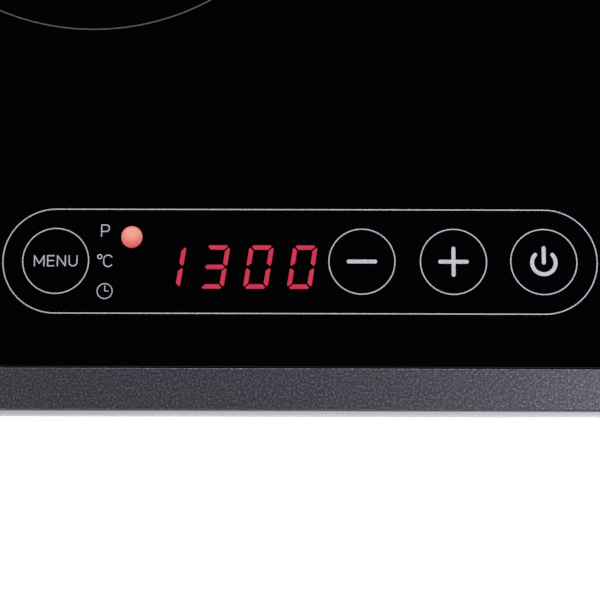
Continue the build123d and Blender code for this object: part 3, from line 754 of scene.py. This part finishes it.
# %% Lit bars
DIGIT_PITCH = 10.0
FIRST_DIGIT = Vector((-29.41, -1.33))
lit = []
for place, digit in enumerate("1300"):
    middle = FIRST_DIGIT + Vector((place * DIGIT_PITCH, 0.0))
    for bar in LIT[digit]:
        lit.append([middle + Vector((x + y * LEAN, y)) for x, y in BARS[bar]])
display_digits = print_film("display_digits", lit, display_light)

# %% The lamp's spot
LAMP_SQUEEZE = 0.945
lamp_circle = arc(LAMP_X, LAMP_Y, LAMP_R / MM, 0, 352.5, 47)
lamp_outline = [Vector((LAMP_X + LAMP_SQUEEZE * (x - LAMP_X), y)) for x, y in lamp_circle]
lamp_spot = print_film("lamp_spot", [lamp_outline], lamp_light)

# %% [markdown]
# ## The sensor spring
# Under the middle of the glass the temperature sensor stands on a coil spring of zinc-plated wire. The
# plunger's flange bears on the top of the spring and moves down 2 mm, while the spring's foot stays on the
# carrier. A merged copy of the measured spring rides on the sensor's body at its full length, and takes its
# place.

# %% Sensor spring
def make_sensor_spring():
    """A merged copy of the measured spring, riding on the sensor's body."""
    shape = bmesh.new()
    shape.from_mesh(frame["nodes"]["sensor_spring"].data)
    bmesh.ops.remove_doubles(shape, verts=shape.verts[:], dist=0.001 * MM)
    mesh = bpy.data.meshes.new("sensor_spring_wire")
    shape.to_mesh(mesh)
    shape.free()
    mesh.materials.append(finishes[node_slots["sensor_spring"]])
    spring = keep("sensor_spring_wire", mesh, "sensor", smooth=True)
    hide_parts("sensor_spring")
    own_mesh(spring)
    return spring


sensor_spring = make_sensor_spring()

# %% [markdown]
# ## The studio
# A pale floor fills the view and burns out to white round the object. The sky is bright near the horizon,
# which lights the sides softly, and black overhead, so that the glass, seen from above, mirrors nothing.
# One soft lamp stands low on the right, where it rakes over the frame, and a weaker one fills from the
# left.

# %% Floor
def make_floor():
    material, tree, shader = new_finish("studio_card", Roughness=0.85)
    paper = grain(tree, 60.0, detail=2.0)
    two_tone(tree, shader, paper.outputs["Fac"], "#F9F9F9", "#FDFDFD")
    shape = bmesh.new()
    bmesh.ops.create_grid(shape, x_segments=1, y_segments=1, size=6.0)
    mesh = bpy.data.meshes.new("studio_floor")
    shape.to_mesh(mesh)
    shape.free()
    mesh.materials.append(material)
    floor = bpy.data.objects.new("studio_floor", mesh)
    bpy.context.collection.objects.link(floor)
    return floor


floor = make_floor()


# %% Sky
def make_sky(strength=1.0):
    world = bpy.data.worlds.new("studio_sky")
    bpy.context.scene.world = world
    world.use_nodes = True
    tree = world.node_tree
    way = add(tree, "ShaderNodeTexCoord")
    parts = add(tree, "ShaderNodeSeparateXYZ", links={"Vector": way.outputs["Generated"]})
    ramp = add(tree, "ShaderNodeValToRGB", links={"Fac": parts.outputs["Z"]})
    ramp.color_ramp.elements[0].position = 0.3
    ramp.color_ramp.elements[0].color = (0.9, 0.9, 0.93, 1.0)
    ramp.color_ramp.elements[1].position = 0.75
    ramp.color_ramp.elements[1].color = (0.0, 0.0, 0.0, 1.0)
    tree.links.new(ramp.outputs["Color"], tree.nodes["Background"].inputs["Color"])
    tree.nodes["Background"].inputs["Strength"].default_value = strength


make_sky()


# %% Lamps
def make_lamp(name, place, target, size, power):
    lamp = bpy.data.lights.new(name, "AREA")
    lamp.shape = "SQUARE"
    lamp.size = size
    lamp.energy = power
    holder = bpy.data.objects.new(name, lamp)
    holder.location = place
    holder.rotation_euler = (Vector(target) - Vector(place)).to_track_quat("-Z", "Y").to_euler()
    bpy.context.collection.objects.link(holder)
    return holder


make_lamp("key_right", (0.95, -0.45, 0.62), (0.05, -0.1, 0.05), 0.6, 14.5)
make_lamp("fill_left", (-1.0, -0.35, 0.7), (0.0, -0.05, 0.05), 0.8, 9.0)
make_lamp("rim_back", (0.1, 1.1, 0.5), (0.0, 0.1, 0.05), 0.8, 8.0)
make_lamp("glint_right", (0.44, -0.12, 0.58), (0.13, -0.14, 0.06), 0.12, 1.9)

# %% [markdown]
# ## The camera
# The camera looks down on the keys from just in front of them, nine degrees off upright, through a 100 mm
# lens. The view transform is the plain sRGB one, so that the swatches above reach the render as they are.

# %% Camera
CAMERA = Vector((50.9, -178.9, 434.5)) * MM
TILT = math.radians(9.053)
SWING = math.radians(0.368)
ROLL = math.radians(0.203)


def make_camera():
    lens = bpy.data.cameras.new("camera")
    lens.lens = 100.0
    lens.sensor_width = 36.0
    lens.clip_start = 0.01
    camera = bpy.data.objects.new("camera", lens)
    turn = Matrix.Rotation(SWING, 4, "Y") @ Matrix.Rotation(TILT, 4, "X") @ Matrix.Rotation(ROLL, 4, "Z")
    camera.matrix_world = Matrix.Translation(CAMERA) @ turn
    bpy.context.collection.objects.link(camera)
    bpy.context.scene.camera = camera
    return camera


camera = make_camera()
bpy.context.scene.view_settings.view_transform = "Standard"

# %% Finish
bpy.context.view_layer.update()
